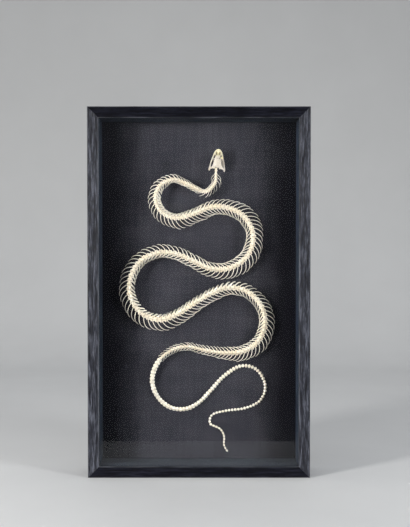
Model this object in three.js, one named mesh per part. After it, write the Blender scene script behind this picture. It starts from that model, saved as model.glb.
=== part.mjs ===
// A snake skeleton mounted in a glass-fronted case that stands on its lower edge.
// Millimetres. X runs to the right, Y away from the viewer through the case, Z up.
// The origin is the middle of the underside of the case.
import * as THREE from 'three';

const GAP = 0.3; // clearance kept between neighbouring pieces

// ---------------------------------------------------------------- case sizes
const CASE = { width: 430, height: 716.6, depth: 85 };
const FRONT = -CASE.depth / 2;
const LIP = { width: 22, thick: 6 }; // the face of the frame, in front of the glass
const WALL = 14; // frame wall behind the lip
const GLASS = { thick: 2, front: FRONT + LIP.thick + GAP };
const FABRIC = { front: 27.5, thick: 3 };
const LINER = { inner: 21.3, front: GLASS.front + GLASS.thick + GAP, back: FABRIC.front - GAP };
const PANEL = { front: FABRIC.front + FABRIC.thick + GAP, thick: 4 };
const TAB = { width: 16, reach: 12, thick: 1.2 };

// ------------------------------------------------------------ skeleton sizes
// The way of the backbone from the back of the skull to the tip of the tail, as [x, z].
const ROUTE = [
  [34, 603.5], [33, 590], [31, 572], [14, 556], [-6, 562], [-26, 572], [-52, 580], [-78, 567],
  [-86, 541], [-74, 516], [-46, 504], [-12, 512], [22, 525], [53, 525], [84, 511], [104, 483],
  [105, 449], [88, 421], [57, 404], [22, 404], [-10, 418], [-42, 432], [-77, 436], [-112, 422],
  [-134, 391], [-137, 352], [-115, 316], [-79, 303], [-45, 313], [-12, 334], [22, 354], [56, 366],
  [92, 360], [120, 335], [131, 300], [119, 262], [88, 240], [50, 236], [12, 241], [-24, 248],
  [-56, 240], [-82, 217], [-94, 182], [-84, 148], [-58, 125], [-26, 122], [1, 136], [24, 160],
  [50, 188], [84, 208], [116, 200], [133, 168], [122, 138], [92, 123], [56, 118], [27, 110],
  [22, 92], [42, 81], [50, 66], [50, 48], [59, 32],
];
const NECK_GAP = 1; // from the back of the skull to the first vertebra
const TRUNK_END = 1373; // along the backbone, where the ribs stop
const TAIL_END = 1962;

// Sizes that change along the backbone, each as [distance from the skull, size].
const PITCH = [
  [0, 6.2], [60, 6.4], [250, 7.5], [560, 8.9], [1020, 8.9], [1373, 6.8], [1700, 6.5], [1968, 6.2],
];
// The ribs near the head and the tail lie back at least this far, against the distance from the head.
const LEAST_SWEEP = [[110, 15], [200, 0], [1190, 0], [1260, 9.5]];
const WIDTH = [
  [0, 5.2], [12, 5.8], [30, 7], [60, 8], [100, 9], [300, 11.5], [1150, 11.5], [1373, 9.8], [1580, 8],
  [1740, 6], [1820, 5.3], [1968, 3.4],
];
const HEIGHT = [[0, 23], [150, 22.5], [950, 23], [1180, 20], [1373, 11], [1500, 4], [1968, 1.7]];

// How far the ribs of each side reach out: far on the outside of a bend, tucked in on its inside.
const LEFT_REACH = [
  [0, 9], [70, 5.8], [140, 11.8], [240, 18.4], [320, 16.6], [390, 14], [450, 16], [520, 12.8], [600, 12.6],
  [650, 14], [720, 17.4], [790, 20.4], [860, 20.4], [930, 18], [1010, 16.6], [1060, 13.4], [1150, 10],
  [1220, 10.5], [1290, 6.8], [1330, 6.6], [1373, 5.6],
];
const RIGHT_REACH = [
  [0, 11.4], [35, 9.4], [65, 5.8], [105, 5.6], [150, 10.4], [220, 8], [300, 11], [380, 20.4], [430, 17.8],
  [480, 20.6], [560, 14], [650, 11.4], [720, 10.6], [800, 8.3], [985, 7.6], [1020, 11], [1080, 15.6],
  [1150, 20.4], [1200, 17], [1240, 11.6], [1290, 8.8], [1373, 7.2],
];
const RIB = {
  drop: 0.86, // how far the tip lies down towards the backing, against the backbone's height
  sweep: [[6, 4], [9, 8], [12, 15], [20, 24.5]], // how far the tip lies behind the root, against its reach
  thick: 1.3,
  hook: 1.14, // the arc goes on past the widest place, so that the tip turns in
  lean: 1.25, // how late the rib bends back towards the tail
};
const RIBLESS = 2; // the first two vertebrae bear no ribs
const ROLL = 0.5; // how far the vertebrae lean to the inside of a bend, against the reach
const WAIST = { at: 0.3, width: 0.6 }; // a vertebra narrows behind its joint
const CREST = { up: 0.42, notch: 0.7 }; // height over the joint wings, against the width
const KEEL = 0.38; // depth of its body below the joint wings, against the width
const TRUNK_NAMES = ['neck', 'trunk_1', 'trunk_2', 'trunk_3', 'trunk_4', 'trunk_5', 'trunk_6', 'trunk_7'];
const TAIL_NAMES = ['tail_1', 'tail_2', 'tail_3'];
const PIN_RADIUS = 1;

// The back of the braincase, its lean to the right, and where the pin meets its underside.
const SKULL = { x: 35.4, z: 603.6, height: 23, tilt: 0.09, pinForward: 6, pinDepth: 4.6 };

// ----------------------------------------------------------------- materials
const coat = (color, roughness, metalness = 0) => (
  new THREE.MeshStandardMaterial({ color, roughness, metalness })
);
const BONE = coat('#efe2c2', 0.55);
const SKULL_BONE = coat('#f0e3b8', 0.5);
const WOOD = coat('#26221f', 0.5);
const LINER_PAINT = coat('#1a1c22', 0.6);
const CLOTH = coat('#2b2b31', 0.95);
const BOARD = coat('#6d5238', 0.85);
const STEEL = coat('#9a9a98', 0.35, 0.9);
const PANE = new THREE.MeshStandardMaterial({
  color: '#dfe8e8', roughness: 0.05, transparent: true, opacity: 0.15,
});

const model = new THREE.Group();
model.name = 'snake_skeleton_in_case';

// ------------------------------------------------------------------- helpers

/** Adds one named mesh to a group. */
function place(name, geometry, material, group = model) {
  const mesh = new THREE.Mesh(geometry, material);
  mesh.name = name;
  group.add(mesh);
  return mesh;
}

/** A closed body from its corners and triangles, turned so that the faces point out. */
function closedBody(points, faces) {
  const volume = faces.reduce((sum, [a, b, c]) => (
    sum + points[a].dot(new THREE.Vector3().crossVectors(points[b], points[c]))), 0);
  const order = volume > 0 ? faces : faces.map(([a, b, c]) => [a, c, b]);
  const geometry = new THREE.BufferGeometry();
  geometry.setAttribute('position', new THREE.Float32BufferAttribute(points.flatMap((p) => p.toArray()), 3));
  geometry.setIndex(order.flat());
  return geometry;
}

/** Two triangles between the corners a, b of one ring and c, d of the next. */
const quad = (a, b, c, d) => [[a, b, d], [a, d, c]];

/** The size at a distance along the backbone, from a list of [distance, size]. */
function sizeAt(list, distance) {
  const next = list.findIndex(([start]) => start > distance);
  if (next < 0) return list.at(-1)[1];
  if (next === 0) return list[0][1];
  const [[s0, v0], [s1, v1]] = [list[next - 1], list[next]];
  return v0 + (v1 - v0) * (distance - s0) / (s1 - s0);
}

/** A rectangular board from its two opposite corners. */
function board(low, high) {
  const size = high.map((value, axis) => value - low[axis]);
  const geometry = new THREE.BoxGeometry(...size);
  geometry.translate(...low.map((value, axis) => value + size[axis] / 2));
  return geometry;
}

// ---------------------------------------------------------------------- case

/** One mitred side of the frame: an L-shaped section whose ends are cut at 45 degrees. */
function frameSide(halfLength) {
  const section = [
    [0, FRONT], [LIP.width, FRONT], [LIP.width, FRONT + LIP.thick],
    [WALL, FRONT + LIP.thick], [WALL, -FRONT], [0, -FRONT],
  ];
  const ends = [-1, 1].flatMap((side) => section.map(([inset, y]) => (
    new THREE.Vector3(side * (halfLength - inset - GAP / 2), y, inset))));
  const count = section.length;
  const faces = section.flatMap((_, i) => {
    const next = (i + 1) % count;
    return quad(i, next, i + count, next + count);
  });
  const cap = THREE.ShapeUtils.triangulateShape(section.map(([x, y]) => new THREE.Vector2(x, y)), []);
  cap.forEach(([a, b, c]) => faces.push([a, c, b], [a + count, b + count, c + count]));
  return closedBody(ends, faces);
}

/** The frame: four mitred sides about the middle of the case. */
function buildFrame() {
  const half = { x: CASE.width / 2, z: CASE.height / 2 };
  const sides = [
    ['frame_bottom', half.x, half.z, 0], ['frame_right', half.z, half.x, 1],
    ['frame_top', half.x, half.z, 2], ['frame_left', half.z, half.x, 3],
  ];
  sides.forEach(([name, halfLength, away, turns]) => {
    const angle = -turns * Math.PI / 2;
    const mesh = place(name, frameSide(halfLength), WOOD);
    mesh.rotation.y = angle;
    mesh.position.set(-away * Math.sin(angle), 0, half.z - away * Math.cos(angle));
  });
}

/** The glass, the dark liner strips round the inside, and the two boards behind them. */
function buildInside() {
  const x = CASE.width / 2 - WALL - GAP;
  const low = WALL + GAP;
  const high = CASE.height - low;
  const innerX = CASE.width / 2 - LINER.inner;
  place('glass_pane', board([-x, GLASS.front, low], [x, GLASS.front + GLASS.thick, high]), PANE);
  place('liner_left', board([-x, LINER.front, low], [-innerX, LINER.back, high]), LINER_PAINT);
  place('liner_right', board([innerX, LINER.front, low], [x, LINER.back, high]), LINER_PAINT);
  const endX = innerX - GAP;
  place('liner_bottom', board([-endX, LINER.front, low], [endX, LINER.back, LINER.inner]), LINER_PAINT);
  const under = CASE.height - LINER.inner;
  place('liner_top', board([-endX, LINER.front, under], [endX, LINER.back, high]), LINER_PAINT);
  place('fabric_backing', board([-x, FABRIC.front, low], [x, FABRIC.front + FABRIC.thick, high]), CLOTH);
  place('back_panel', board([-x, PANEL.front, low], [x, PANEL.front + PANEL.thick, high]), BOARD);
}

/** Flat steel tabs in the back of the frame that keep the boards in. */
function buildTabs() {
  const front = PANEL.front + PANEL.thick + GAP;
  const back = front + TAB.thick;
  const x = CASE.width / 2 - WALL - GAP;
  [-1, 1].forEach((side) => [0.22, 0.78].forEach((share, row) => {
    const z = CASE.height * share;
    const [a, b] = [side * x, side * (x - TAB.reach)].sort((p, q) => p - q);
    const name = `tab_${side < 0 ? 'left' : 'right'}_${row ? 'upper' : 'lower'}`;
    place(name, board([a, front, z - TAB.width / 2], [b, back, z + TAB.width / 2]), STEEL);
  }));
  const low = WALL + GAP;
  const half = TAB.width / 2;
  place('tab_bottom', board([-half, front, low], [half, back, low + TAB.reach]), STEEL);
  const high = CASE.height - low;
  place('tab_top', board([-half, front, high - TAB.reach], [half, back, high]), STEEL);
}

// ------------------------------------------------------------------ backbone

/** The backbone as closely spaced stations: place, direction and distance from the skull. */
function walkRoute() {
  const knots = ROUTE.map(([x, z]) => new THREE.Vector3(x, 0, z));
  const curve = new THREE.CatmullRomCurve3(knots, false, 'catmullrom', 0.5);
  const points = curve.getPoints((ROUTE.length - 1) * 40);
  const distance = [0];
  points.slice(1).forEach((point, i) => distance.push(distance[i] + point.distanceTo(points[i])));
  return { points, distance };
}
const way = walkRoute();

/** The point of the route at a distance from the skull. */
function pointAt(distance) {
  let next = way.distance.findIndex((value) => value > distance);
  if (next < 1) next = next < 0 ? way.points.length - 1 : 1;
  const share = (distance - way.distance[next - 1]) / (way.distance[next] - way.distance[next - 1]);
  return way.points[next - 1].clone().lerp(way.points[next], share);
}

/** The way the backbone points, towards the tail. */
function headingAt(distance, reach = 1.5) {
  return pointAt(distance + reach).sub(pointAt(distance - reach)).normalize();
}

/** The cross-section frame of the backbone: left of the snake, up from its back, and tailward. */
function frameAt(distance, lean = ROLL) {
  const tail = headingAt(distance);
  const [left, right] = [sizeAt(LEFT_REACH, distance), sizeAt(RIGHT_REACH, distance)];
  const roll = distance < TRUNK_END ? lean * (left - right) / (left + right) : 0;
  const flatLeft = new THREE.Vector3(tail.z, 0, -tail.x);
  const towardViewer = new THREE.Vector3(0, -1, 0);
  const out = flatLeft.clone().multiplyScalar(Math.cos(roll)).addScaledVector(towardViewer, Math.sin(roll));
  const up = towardViewer.multiplyScalar(Math.cos(roll)).addScaledVector(flatLeft, -Math.sin(roll));
  const origin = pointAt(distance);
  origin.y = FABRIC.front - sizeAt(HEIGHT, distance);
  return { origin, left: out, up, tail, roll };
}

/** The distances of the joints between the vertebrae, from one end of a stretch to the other. */
function jointsBetween(start, end) {
  const joints = [start];
  while (joints.at(-1) < end) joints.push(joints.at(-1) + sizeAt(PITCH, joints.at(-1)));
  const stretch = (end - start) / (joints.at(-1) - start);
  return joints.map((joint) => start + (joint - start) * stretch);
}

/** Splits the joints into lengths of as even a count as can be. */
function splitLengths(joints, names) {
  const count = joints.length - 1;
  return names.map((name, i) => {
    const first = Math.round(count * i / names.length);
    const last = Math.round(count * (i + 1) / names.length);
    return { name, first, joints: joints.slice(first, last + 1) };
  });
}

/** The rings of one length of backbone: a wide one at each joint and a waist behind it. */
function ringsOf(joints, waisted = true) {
  const rings = [];
  joints.slice(0, -1).forEach((joint, i) => {
    const pitch = joints[i + 1] - joint;
    rings.push({ distance: joint + (i ? 0 : GAP / 2), share: 1, crest: CREST.notch });
    if (waisted) rings.push({ distance: joint + pitch * WAIST.at, share: WAIST.width, crest: 1 });
  });
  rings.push({ distance: joints.at(-1) - GAP / 2, share: 1, crest: CREST.notch });
  return rings;
}

/** A point of a cross-section: so far to the side, up and towards the tail. */
function sectionPoint(frame, out, up, back = 0) {
  return frame.origin.clone()
    .addScaledVector(frame.left, out).addScaledVector(frame.up, up).addScaledVector(frame.tail, back);
}

/** The middle line of a rib: share 0 is its root on the vertebra and share 1 its tip. */
function ribPoint(distance, side, share) {
  const frame = frameAt(distance, 0);
  const reach = sizeAt(side > 0 ? LEFT_REACH : RIGHT_REACH, distance);
  const root = sizeAt(WIDTH, distance) * 0.4;
  const arc = share * Math.PI / 2;
  const out = root + (reach - root) * Math.sin(arc * RIB.hook);
  const down = (sizeAt(HEIGHT, distance) - 1) * RIB.drop * (1 - Math.cos(arc));
  const back = Math.max(sizeAt(RIB.sweep, reach), sizeAt(LEAST_SWEEP, distance));
  const sweep = back * Math.min(1, sizeAt(PITCH, distance) / 8);
  return sectionPoint(frame, side * out, -1 - down, sweep * share ** RIB.lean);
}

/** One side of one length: half of each vertebra, cut down the middle, with that side's ribs. */
function trunkHalf(length, side) {
  const points = [];
  const faces = [];
  const rings = ringsOf(length.joints);
  rings.forEach(({ distance, share, crest }) => {
    const frame = frameAt(distance);
    const width = sizeAt(WIDTH, distance);
    points.push(
      sectionPoint(frame, side * GAP / 2, width * CREST.up * crest),
      sectionPoint(frame, side * width * share / 2, 0),
      sectionPoint(frame, side * GAP / 2, -width * KEEL),
    );
  });
  rings.slice(1).forEach((_, i) => {
    const [a, b] = [i * 3, i * 3 + 3];
    faces.push(...quad(a, a + 1, b, b + 1), ...quad(a + 2, a, b + 2, b));
    const bearsRib = i % 2 === 0 && length.first + i / 2 >= RIBLESS;
    if (bearsRib) addRib(points, faces, a, rings[i].distance, side);
    else faces.push(...quad(a + 1, a + 2, b + 1, b + 2));
  });
  const end = (rings.length - 1) * 3;
  faces.push([0, 2, 1], [end, end + 1, end + 2]);
  return closedBody(points, faces);
}

/** A rib on the lower flank of a vertebra: root on the flank, a knee halfway, and a point. */
function addRib(points, faces, ring, distance, side) {
  const [wing, keel, nextWing, nextKeel] = [ring + 1, ring + 2, ring + 4, ring + 5];
  const inner = points.length;
  const towardKeel = 0.42;
  points.push(points[wing].clone().add(points[nextWing]).multiplyScalar(0.5)
    .lerp(points[keel].clone().add(points[nextKeel]).multiplyScalar(0.5), towardKeel));
  faces.push([wing, keel, inner], [keel, nextKeel, inner], [nextKeel, nextWing, inner]);
  const { tail, up } = frameAt(distance);
  const knee = ribPoint(distance, side, 0.5);
  const base = points.length;
  const half = RIB.thick / 2;
  points.push(
    knee.clone().addScaledVector(tail, -half).addScaledVector(up, half * 0.6),
    knee.clone().addScaledVector(tail, half).addScaledVector(up, half * 0.6),
    knee.clone().addScaledVector(up, -half),
    ribPoint(distance, side, 1),
  );
  const root = [wing, nextWing, inner];
  root.forEach((corner, i) => {
    const next = (i + 1) % 3;
    faces.push(...quad(root[next], corner, base + next, base + i));
    faces.push([base + next, base + i, base + 3]);
  });
}

/** One length of the tail: whole vertebrae, with short side wings and no ribs. */
function tailLength(length, waisted) {
  const points = [];
  const faces = [];
  const rings = ringsOf(length.joints, waisted);
  rings.forEach(({ distance, share, crest }) => {
    const frame = frameAt(distance);
    const width = sizeAt(WIDTH, distance);
    points.push(
      sectionPoint(frame, 0, width * CREST.up * crest),
      sectionPoint(frame, width * share / 2, 0),
      sectionPoint(frame, 0, -width * KEEL),
      sectionPoint(frame, -width * share / 2, 0),
    );
  });
  rings.slice(1).forEach((_, i) => {
    [0, 1, 2, 3].forEach((corner) => {
      const next = (corner + 1) % 4;
      faces.push(...quad(i * 4 + corner, i * 4 + next, i * 4 + 4 + corner, i * 4 + 4 + next));
    });
  });
  const end = (rings.length - 1) * 4;
  faces.push([0, 2, 1], [0, 3, 2], [end, end + 1, end + 2], [end, end + 2, end + 3]);
  return closedBody(points, faces);
}

/** A thin rod from the backing to the underside of the backbone, where a length lies flattest. */
function supportPin(name, joints) {
  const middles = joints.slice(1, -1);
  const flattest = middles.reduce((best, joint) => (
    Math.abs(frameAt(joint).roll) < Math.abs(frameAt(best).roll) ? joint : best));
  const keel = sectionPoint(frameAt(flattest), 0, -sizeAt(WIDTH, flattest) * KEEL);
  placePin(name, keel.x, keel.z, keel.y + 0.8);
}

/** A rod square to the backing, from a given place in front of it. */
function placePin(name, x, z, front) {
  const back = FABRIC.front - GAP;
  const geometry = new THREE.CylinderGeometry(PIN_RADIUS, PIN_RADIUS, back - front, 5);
  place(name, geometry, STEEL).position.set(x, (front + back) / 2, z);
}

function buildBackbone() {
  const trunk = jointsBetween(NECK_GAP, TRUNK_END);
  splitLengths(trunk, TRUNK_NAMES).forEach((length) => {
    place(`${length.name}_left`, trunkHalf(length, 1), BONE);
    place(`${length.name}_right`, trunkHalf(length, -1), BONE);
    supportPin(`pin_${length.name}`, length.joints);
  });
  const tail = jointsBetween(TRUNK_END, TAIL_END);
  const lengths = splitLengths(tail, TAIL_NAMES);
  lengths.forEach((length) => place(length.name, tailLength(length, length !== lengths.at(-1)), BONE));
}

// --------------------------------------------------------------------- skull

/**
 * A bone as a row of rounded sections, each [forward, out, up, half width, half height],
 * square to the line that joins their middles.
 */
function bone(stations, sides, flip = 1) {
  const middles = stations.map(([forward, out, up]) => new THREE.Vector3(flip * out, -up, forward));
  const dorsal = new THREE.Vector3(0, -1, 0);
  const points = stations.flatMap(([, , , halfWidth, halfHeight], row) => {
    const ahead = middles[Math.min(row + 1, middles.length - 1)];
    const along = ahead.clone().sub(middles[Math.max(row - 1, 0)]).normalize();
    const across = new THREE.Vector3().crossVectors(dorsal, along).normalize();
    const above = new THREE.Vector3().crossVectors(along, across);
    return Array.from({ length: sides }, (_, i) => {
      const angle = (i + 0.5) / sides * 2 * Math.PI;
      return middles[row].clone()
        .addScaledVector(across, halfWidth * Math.sin(angle))
        .addScaledVector(above, halfHeight * Math.cos(angle));
    });
  });
  const faces = stations.slice(1).flatMap((_, row) => (
    Array.from({ length: sides }, (__, i) => {
      const next = (i + 1) % sides;
      return quad(row * sides + i, row * sides + next, (row + 1) * sides + i, (row + 1) * sides + next);
    }).flat()));
  const end = (stations.length - 1) * sides;
  for (let i = 1; i < sides - 1; i += 1) faces.push([0, i + 1, i], [end, end + i, end + i + 1]);
  return closedBody(points, faces);
}

// The bones of the head from the back of the braincase forwards, in millimetres.
const CRANIUM = [
  [0.2, 0, -0.5, 3.8, 2.4], [2.2, 0, -0.35, 6.4, 3.85], [5, 0, -0.1, 7.5, 4.6], [9, 0, 0.1, 7.7, 4.85],
  [13.2, 0, 0.3, 7, 4.6], [16.8, 0, 0.7, 7, 3.6], [18.4, 0, 0.7, 5.3, 3.3], [20.6, 0, 0.5, 4.6, 3.1],
  [24.2, 0, -0.25, 6.2, 2.95], [28, 0, -1.1, 4.9, 2.6], [31.2, 0, -1.9, 3.9, 2.1], [33.6, 0, -2.45, 2.9, 1.6],
  [35.4, 0, -2.85, 2.2, 1.1], [36.3, 0, -2.95, 1.2, 0.6],
];
const PAIRED_BONES = {
  maxilla: [
    [34, 3.6, -3.9, 0.7, 0.7], [30.6, 5.8, -3.2, 1.4, 1.8], [24, 8.4, -2.9, 1.4, 2],
    [20.4, 9.4, -3.1, 1.2, 1.6], [15, 10.4, -3.6, 0.8, 0.8],
  ],
  ectopterygoid: [[14.4, 9.4, -3.9, 0.6, 0.45], [13.2, 8.6, -4.2, 0.7, 0.45], [12.2, 7.8, -4.6, 0.5, 0.4]],
  supratemporal: [
    [9, 8.5, 3.2, 0.45, 0.5], [4.6, 8.5, 3.2, 0.8, 0.7], [1, 8, 2.8, 0.9, 0.8], [-1.4, 7.6, 2.3, 0.9, 0.8],
  ],
  quadrate: [[-1.2, 9.6, 1.8, 1.3, 0.7], [-2.2, 11.8, -0.4, 1.2, 0.8], [-3.3, 13.5, -2.7, 1.2, 0.8]],
  pterygoid: [
    [25, 3.6, -5.4, 0.8, 0.6], [16, 5, -6, 1.2, 0.7], [9, 6.4, -6.1, 1.4, 0.7],
    [3, 8.2, -5.6, 1.2, 0.7], [-1.6, 10.6, -5, 0.8, 0.6],
  ],
  mandible: [
    [34.4, 1.9, -7.4, 0.8, 0.9], [32, 4.3, -7.4, 1.2, 1.4], [27, 7, -7.3, 1.3, 1.6], [19, 9.9, -7, 1.4, 1.9],
    [11, 12.3, -6.5, 1.5, 2.4], [4, 13.7, -6.1, 1.5, 2.1], [-3, 14.7, -5.8, 1.6, 1.5],
    [-7, 14.8, -6, 0.8, 0.9],
  ],
};

/** The skull and jaws, forward along their own Z from the back of the braincase. */
function buildSkull() {
  const skull = new THREE.Group();
  skull.position.set(SKULL.x, FABRIC.front - SKULL.height, SKULL.z);
  skull.rotation.y = SKULL.tilt;
  model.add(skull);
  place('cranium', bone(CRANIUM, 8), SKULL_BONE, skull);
  Object.entries(PAIRED_BONES).forEach(([name, stations]) => {
    place(`${name}_left`, bone(stations, 5, -1), SKULL_BONE, skull);
    place(`${name}_right`, bone(stations, 5), SKULL_BONE, skull);
  });
  const underBraincase = FABRIC.front - SKULL.height + SKULL.pinDepth;
  const lean = Math.sin(SKULL.tilt) * SKULL.pinForward;
  placePin('pin_skull', SKULL.x + lean, SKULL.z + SKULL.pinForward, underBraincase);
}

buildFrame();
buildInside();
buildTabs();
buildBackbone();
buildSkull();

export default model;
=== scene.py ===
import math

import bpy
import numpy as np
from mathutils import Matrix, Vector


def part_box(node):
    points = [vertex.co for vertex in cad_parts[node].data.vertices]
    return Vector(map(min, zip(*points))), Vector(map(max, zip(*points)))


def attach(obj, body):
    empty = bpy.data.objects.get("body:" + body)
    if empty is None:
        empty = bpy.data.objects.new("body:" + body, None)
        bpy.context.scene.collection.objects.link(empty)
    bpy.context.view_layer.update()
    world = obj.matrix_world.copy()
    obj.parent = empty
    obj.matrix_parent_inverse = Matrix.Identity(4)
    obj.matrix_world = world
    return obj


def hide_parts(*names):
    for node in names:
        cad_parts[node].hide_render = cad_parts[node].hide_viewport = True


# A snake skeleton pinned to a dark cloth in a glass-fronted case. Sizes are in millimetres, except that the
# camera, the lamps, the floor and the textures are in metres.
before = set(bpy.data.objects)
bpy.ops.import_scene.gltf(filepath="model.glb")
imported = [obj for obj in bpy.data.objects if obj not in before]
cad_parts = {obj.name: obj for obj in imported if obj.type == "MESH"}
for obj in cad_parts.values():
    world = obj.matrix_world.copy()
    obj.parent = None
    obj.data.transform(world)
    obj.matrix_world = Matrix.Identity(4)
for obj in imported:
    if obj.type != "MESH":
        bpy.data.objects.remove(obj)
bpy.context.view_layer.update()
MM = 0.001
rng = np.random.default_rng(7)

# ----- camera, light and floor
scene = bpy.context.scene
scene.view_settings.view_transform = "Standard"
scene.view_settings.look = "None"

CAMERA_PLACE = (0.0117, -1.7326, 0.4523)
CAMERA_DIP = 0.02208  # radians below level
CAMERA_LENS = 60.0

camera_data = bpy.data.cameras.new("camera")
camera_data.lens = CAMERA_LENS
camera_data.sensor_width = 36.0
camera_data.sensor_fit = "AUTO"
camera = bpy.data.objects.new("camera", camera_data)
camera.location = CAMERA_PLACE
camera.rotation_euler = (math.pi / 2 - CAMERA_DIP, 0.0, 0.0)
scene.collection.objects.link(camera)
scene.camera = camera


CASE_MIDDLE = (0.0, 0.0, 0.36)


def soft_light(name, place, size, power, colour):
    """A square lamp at a place, turned to the middle of the case."""
    data = bpy.data.lights.new(name, "AREA")
    data.size = size
    data.energy = power
    data.color = colour
    lamp = bpy.data.objects.new(name, data)
    lamp.location = place
    lamp.rotation_euler = (Vector(CASE_MIDDLE) - Vector(place)).to_track_quat("-Z", "Y").to_euler()
    scene.collection.objects.link(lamp)


soft_light("left_lamp", (-1.65, -1.35, 0.72), 0.32, 34.0, (1.0, 0.99, 0.97))
soft_light("right_lamp", (1.75, -1.3, 0.62), 0.42, 22.5, (0.96, 0.98, 1.0))


class Nodes:
    """Short calls for laying out the nodes of one material or world."""

    def __init__(self, owner):
        owner.use_nodes = True
        self.owner = owner
        self.tree = owner.node_tree

    def feed(self, node, inputs):
        """Gives a node its inputs by name or number: a socket is linked, anything else is set."""
        for key, value in inputs.items():
            if isinstance(value, bpy.types.NodeSocket):
                self.tree.links.new(value, node.inputs[key])
            else:
                node.inputs[key].default_value = value

    def add(self, kind, inputs=None, **settings):
        node = self.tree.nodes.new("ShaderNode" + kind)
        for key, value in settings.items():
            setattr(node, key, value)
        self.feed(node, inputs or {})
        return node

    def maths(self, operation, first, second=0.0):
        return self.add("Math", {0: first, 1: second}, operation=operation).outputs[0]

    def place(self, scale=(1.0, 1.0, 1.0), turn=(0.0, 0.0, 0.0)):
        """The object's own coordinates in metres, times a scale along each axis."""
        where = self.add("TexCoord").outputs["Object"]
        return self.add("Mapping", {"Vector": where, "Scale": scale, "Rotation": turn}).outputs[0]

    def noise(self, scale, detail=4.0, roughness=0.55, where=None):
        where = where or self.place()
        inputs = {"Vector": where, "Scale": scale, "Detail": detail, "Roughness": roughness}
        return self.add("TexNoise", inputs).outputs["Fac"]

    def ramp(self, value, stops):
        """A colour for each value from a list of (value, colour)."""
        node = self.add("ValToRGB", {"Fac": value})
        band = node.color_ramp
        while len(band.elements) < len(stops):
            band.elements.new(0.5)
        for element, (position, colour) in zip(band.elements, stops):
            element.position = position
            element.color = (*colour, 1.0)
        return node.outputs["Color"]

    def span(self, value, low, high, new_low, new_high):
        inputs = {"Value": value, "From Min": low, "From Max": high, "To Min": new_low, "To Max": new_high}
        return self.add("MapRange", inputs).outputs["Result"]

    def blend(self, factor, first, second):
        """From the first colour to the second as the factor goes from 0 to 1."""
        inputs = {0: factor, 6: first, 7: second}
        return self.add("Mix", inputs, data_type="RGBA").outputs[2]

    def attribute(self, name):
        return self.add("Attribute", attribute_name=name).outputs["Fac"]

    def bump(self, height, strength, distance):
        inputs = {"Height": height, "Strength": strength, "Distance": distance}
        return self.add("Bump", inputs).outputs["Normal"]

    def finish(self, colour, roughness, normal=None, others=None):
        """Feeds the surface shader of a material and gives the material."""
        inputs = {"Base Color": colour, "Roughness": roughness, **(others or {})}
        if normal is not None:
            inputs["Normal"] = normal
        self.feed(self.tree.nodes["Principled BSDF"], inputs)
        return self.owner


def floor_material():
    """A pale matt paper sweep with a faint mottle."""
    nodes = Nodes(bpy.data.materials.new("pale_floor"))
    mottle = nodes.noise(3.0, 3.0)
    colour = nodes.ramp(mottle, [(0.3, (0.76, 0.76, 0.755)), (0.7, (0.80, 0.80, 0.795))])
    return nodes.finish(colour, 0.85)


WORLD_SEEN = (0.62, 0.62, 0.615, 1.0)
DOME = {"level": 0.045, "overhead": 0.62, "colour": (0.93, 0.96, 1.0, 1.0)}


def build_world():
    """Pale where the camera looks at it. As a light it is brightest overhead and dim from the level down."""
    world = bpy.data.worlds.new("studio")
    scene.world = world
    nodes = Nodes(world)
    where = nodes.add("TexCoord").outputs["Generated"]
    up = nodes.add("SeparateXYZ", {"Vector": where}).outputs["Z"]
    strength = nodes.span(up, 0.0, 1.0, DOME["level"], DOME["overhead"])
    lit = nodes.add("Background", {"Color": DOME["colour"], "Strength": strength})
    seen = nodes.add("Background", {"Color": WORLD_SEEN, "Strength": 1.0})
    looked_at = nodes.add("LightPath").outputs["Is Camera Ray"]
    mixed = nodes.add("MixShader", {"Fac": looked_at, 1: lit.outputs[0], 2: seen.outputs[0]})
    nodes.feed(nodes.tree.nodes["World Output"], {"Surface": mixed.outputs[0]})


build_world()


# ----- meshes from whole arrays
def make_mesh(name, points, face_sets, material, sharp=None):
    """An object from points in millimetres and face arrays, one array for each number of corners."""
    mesh = bpy.data.meshes.new(name)
    corners = np.concatenate([faces.ravel() for faces in face_sets]).astype(np.int32)
    sizes = np.concatenate([np.full(len(faces), faces.shape[1]) for faces in face_sets])
    starts = np.concatenate([[0], np.cumsum(sizes)[:-1]]).astype(np.int32)
    mesh.vertices.add(len(points))
    mesh.vertices.foreach_set("co", (points * MM).astype(np.float32).ravel())
    mesh.loops.add(len(corners))
    mesh.loops.foreach_set("vertex_index", corners)
    mesh.polygons.add(len(starts))
    mesh.polygons.foreach_set("loop_start", starts)
    mesh.update(calc_edges=True)
    mesh.shade_smooth()
    if sharp is not None:
        mesh.set_sharp_from_angle(angle=math.radians(sharp))
    mesh.materials.append(material)
    piece = bpy.data.objects.new(name, mesh)
    scene.collection.objects.link(piece)
    return piece


def mark(piece, name, values):
    """A number kept at each point of a piece for its material to read."""
    layer = piece.data.attributes.new(name, "FLOAT", "POINT")
    layer.data.foreach_set("value", values.astype(np.float32).ravel())


def settle(piece, slot, *nodes):
    """Fixes a piece to the object and hides the parts it stands for. The slot it is given is not used."""
    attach(piece, "root")
    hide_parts(*nodes)


def circle(count):
    """Evenly spaced angles once round."""
    return np.linspace(0, 2 * math.pi, count, endpoint=False)


def ring_quads(rows, around):
    """The four-cornered faces between the rows of a tube whose rows are closed rings."""
    ring = np.arange(around)
    following = (ring + 1) % around
    row = np.arange(rows - 1)[:, None] * around
    corners = [row + ring, row + following, row + around + following, row + around + ring]
    return np.stack(corners, axis=-1).reshape(-1, 4)


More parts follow.
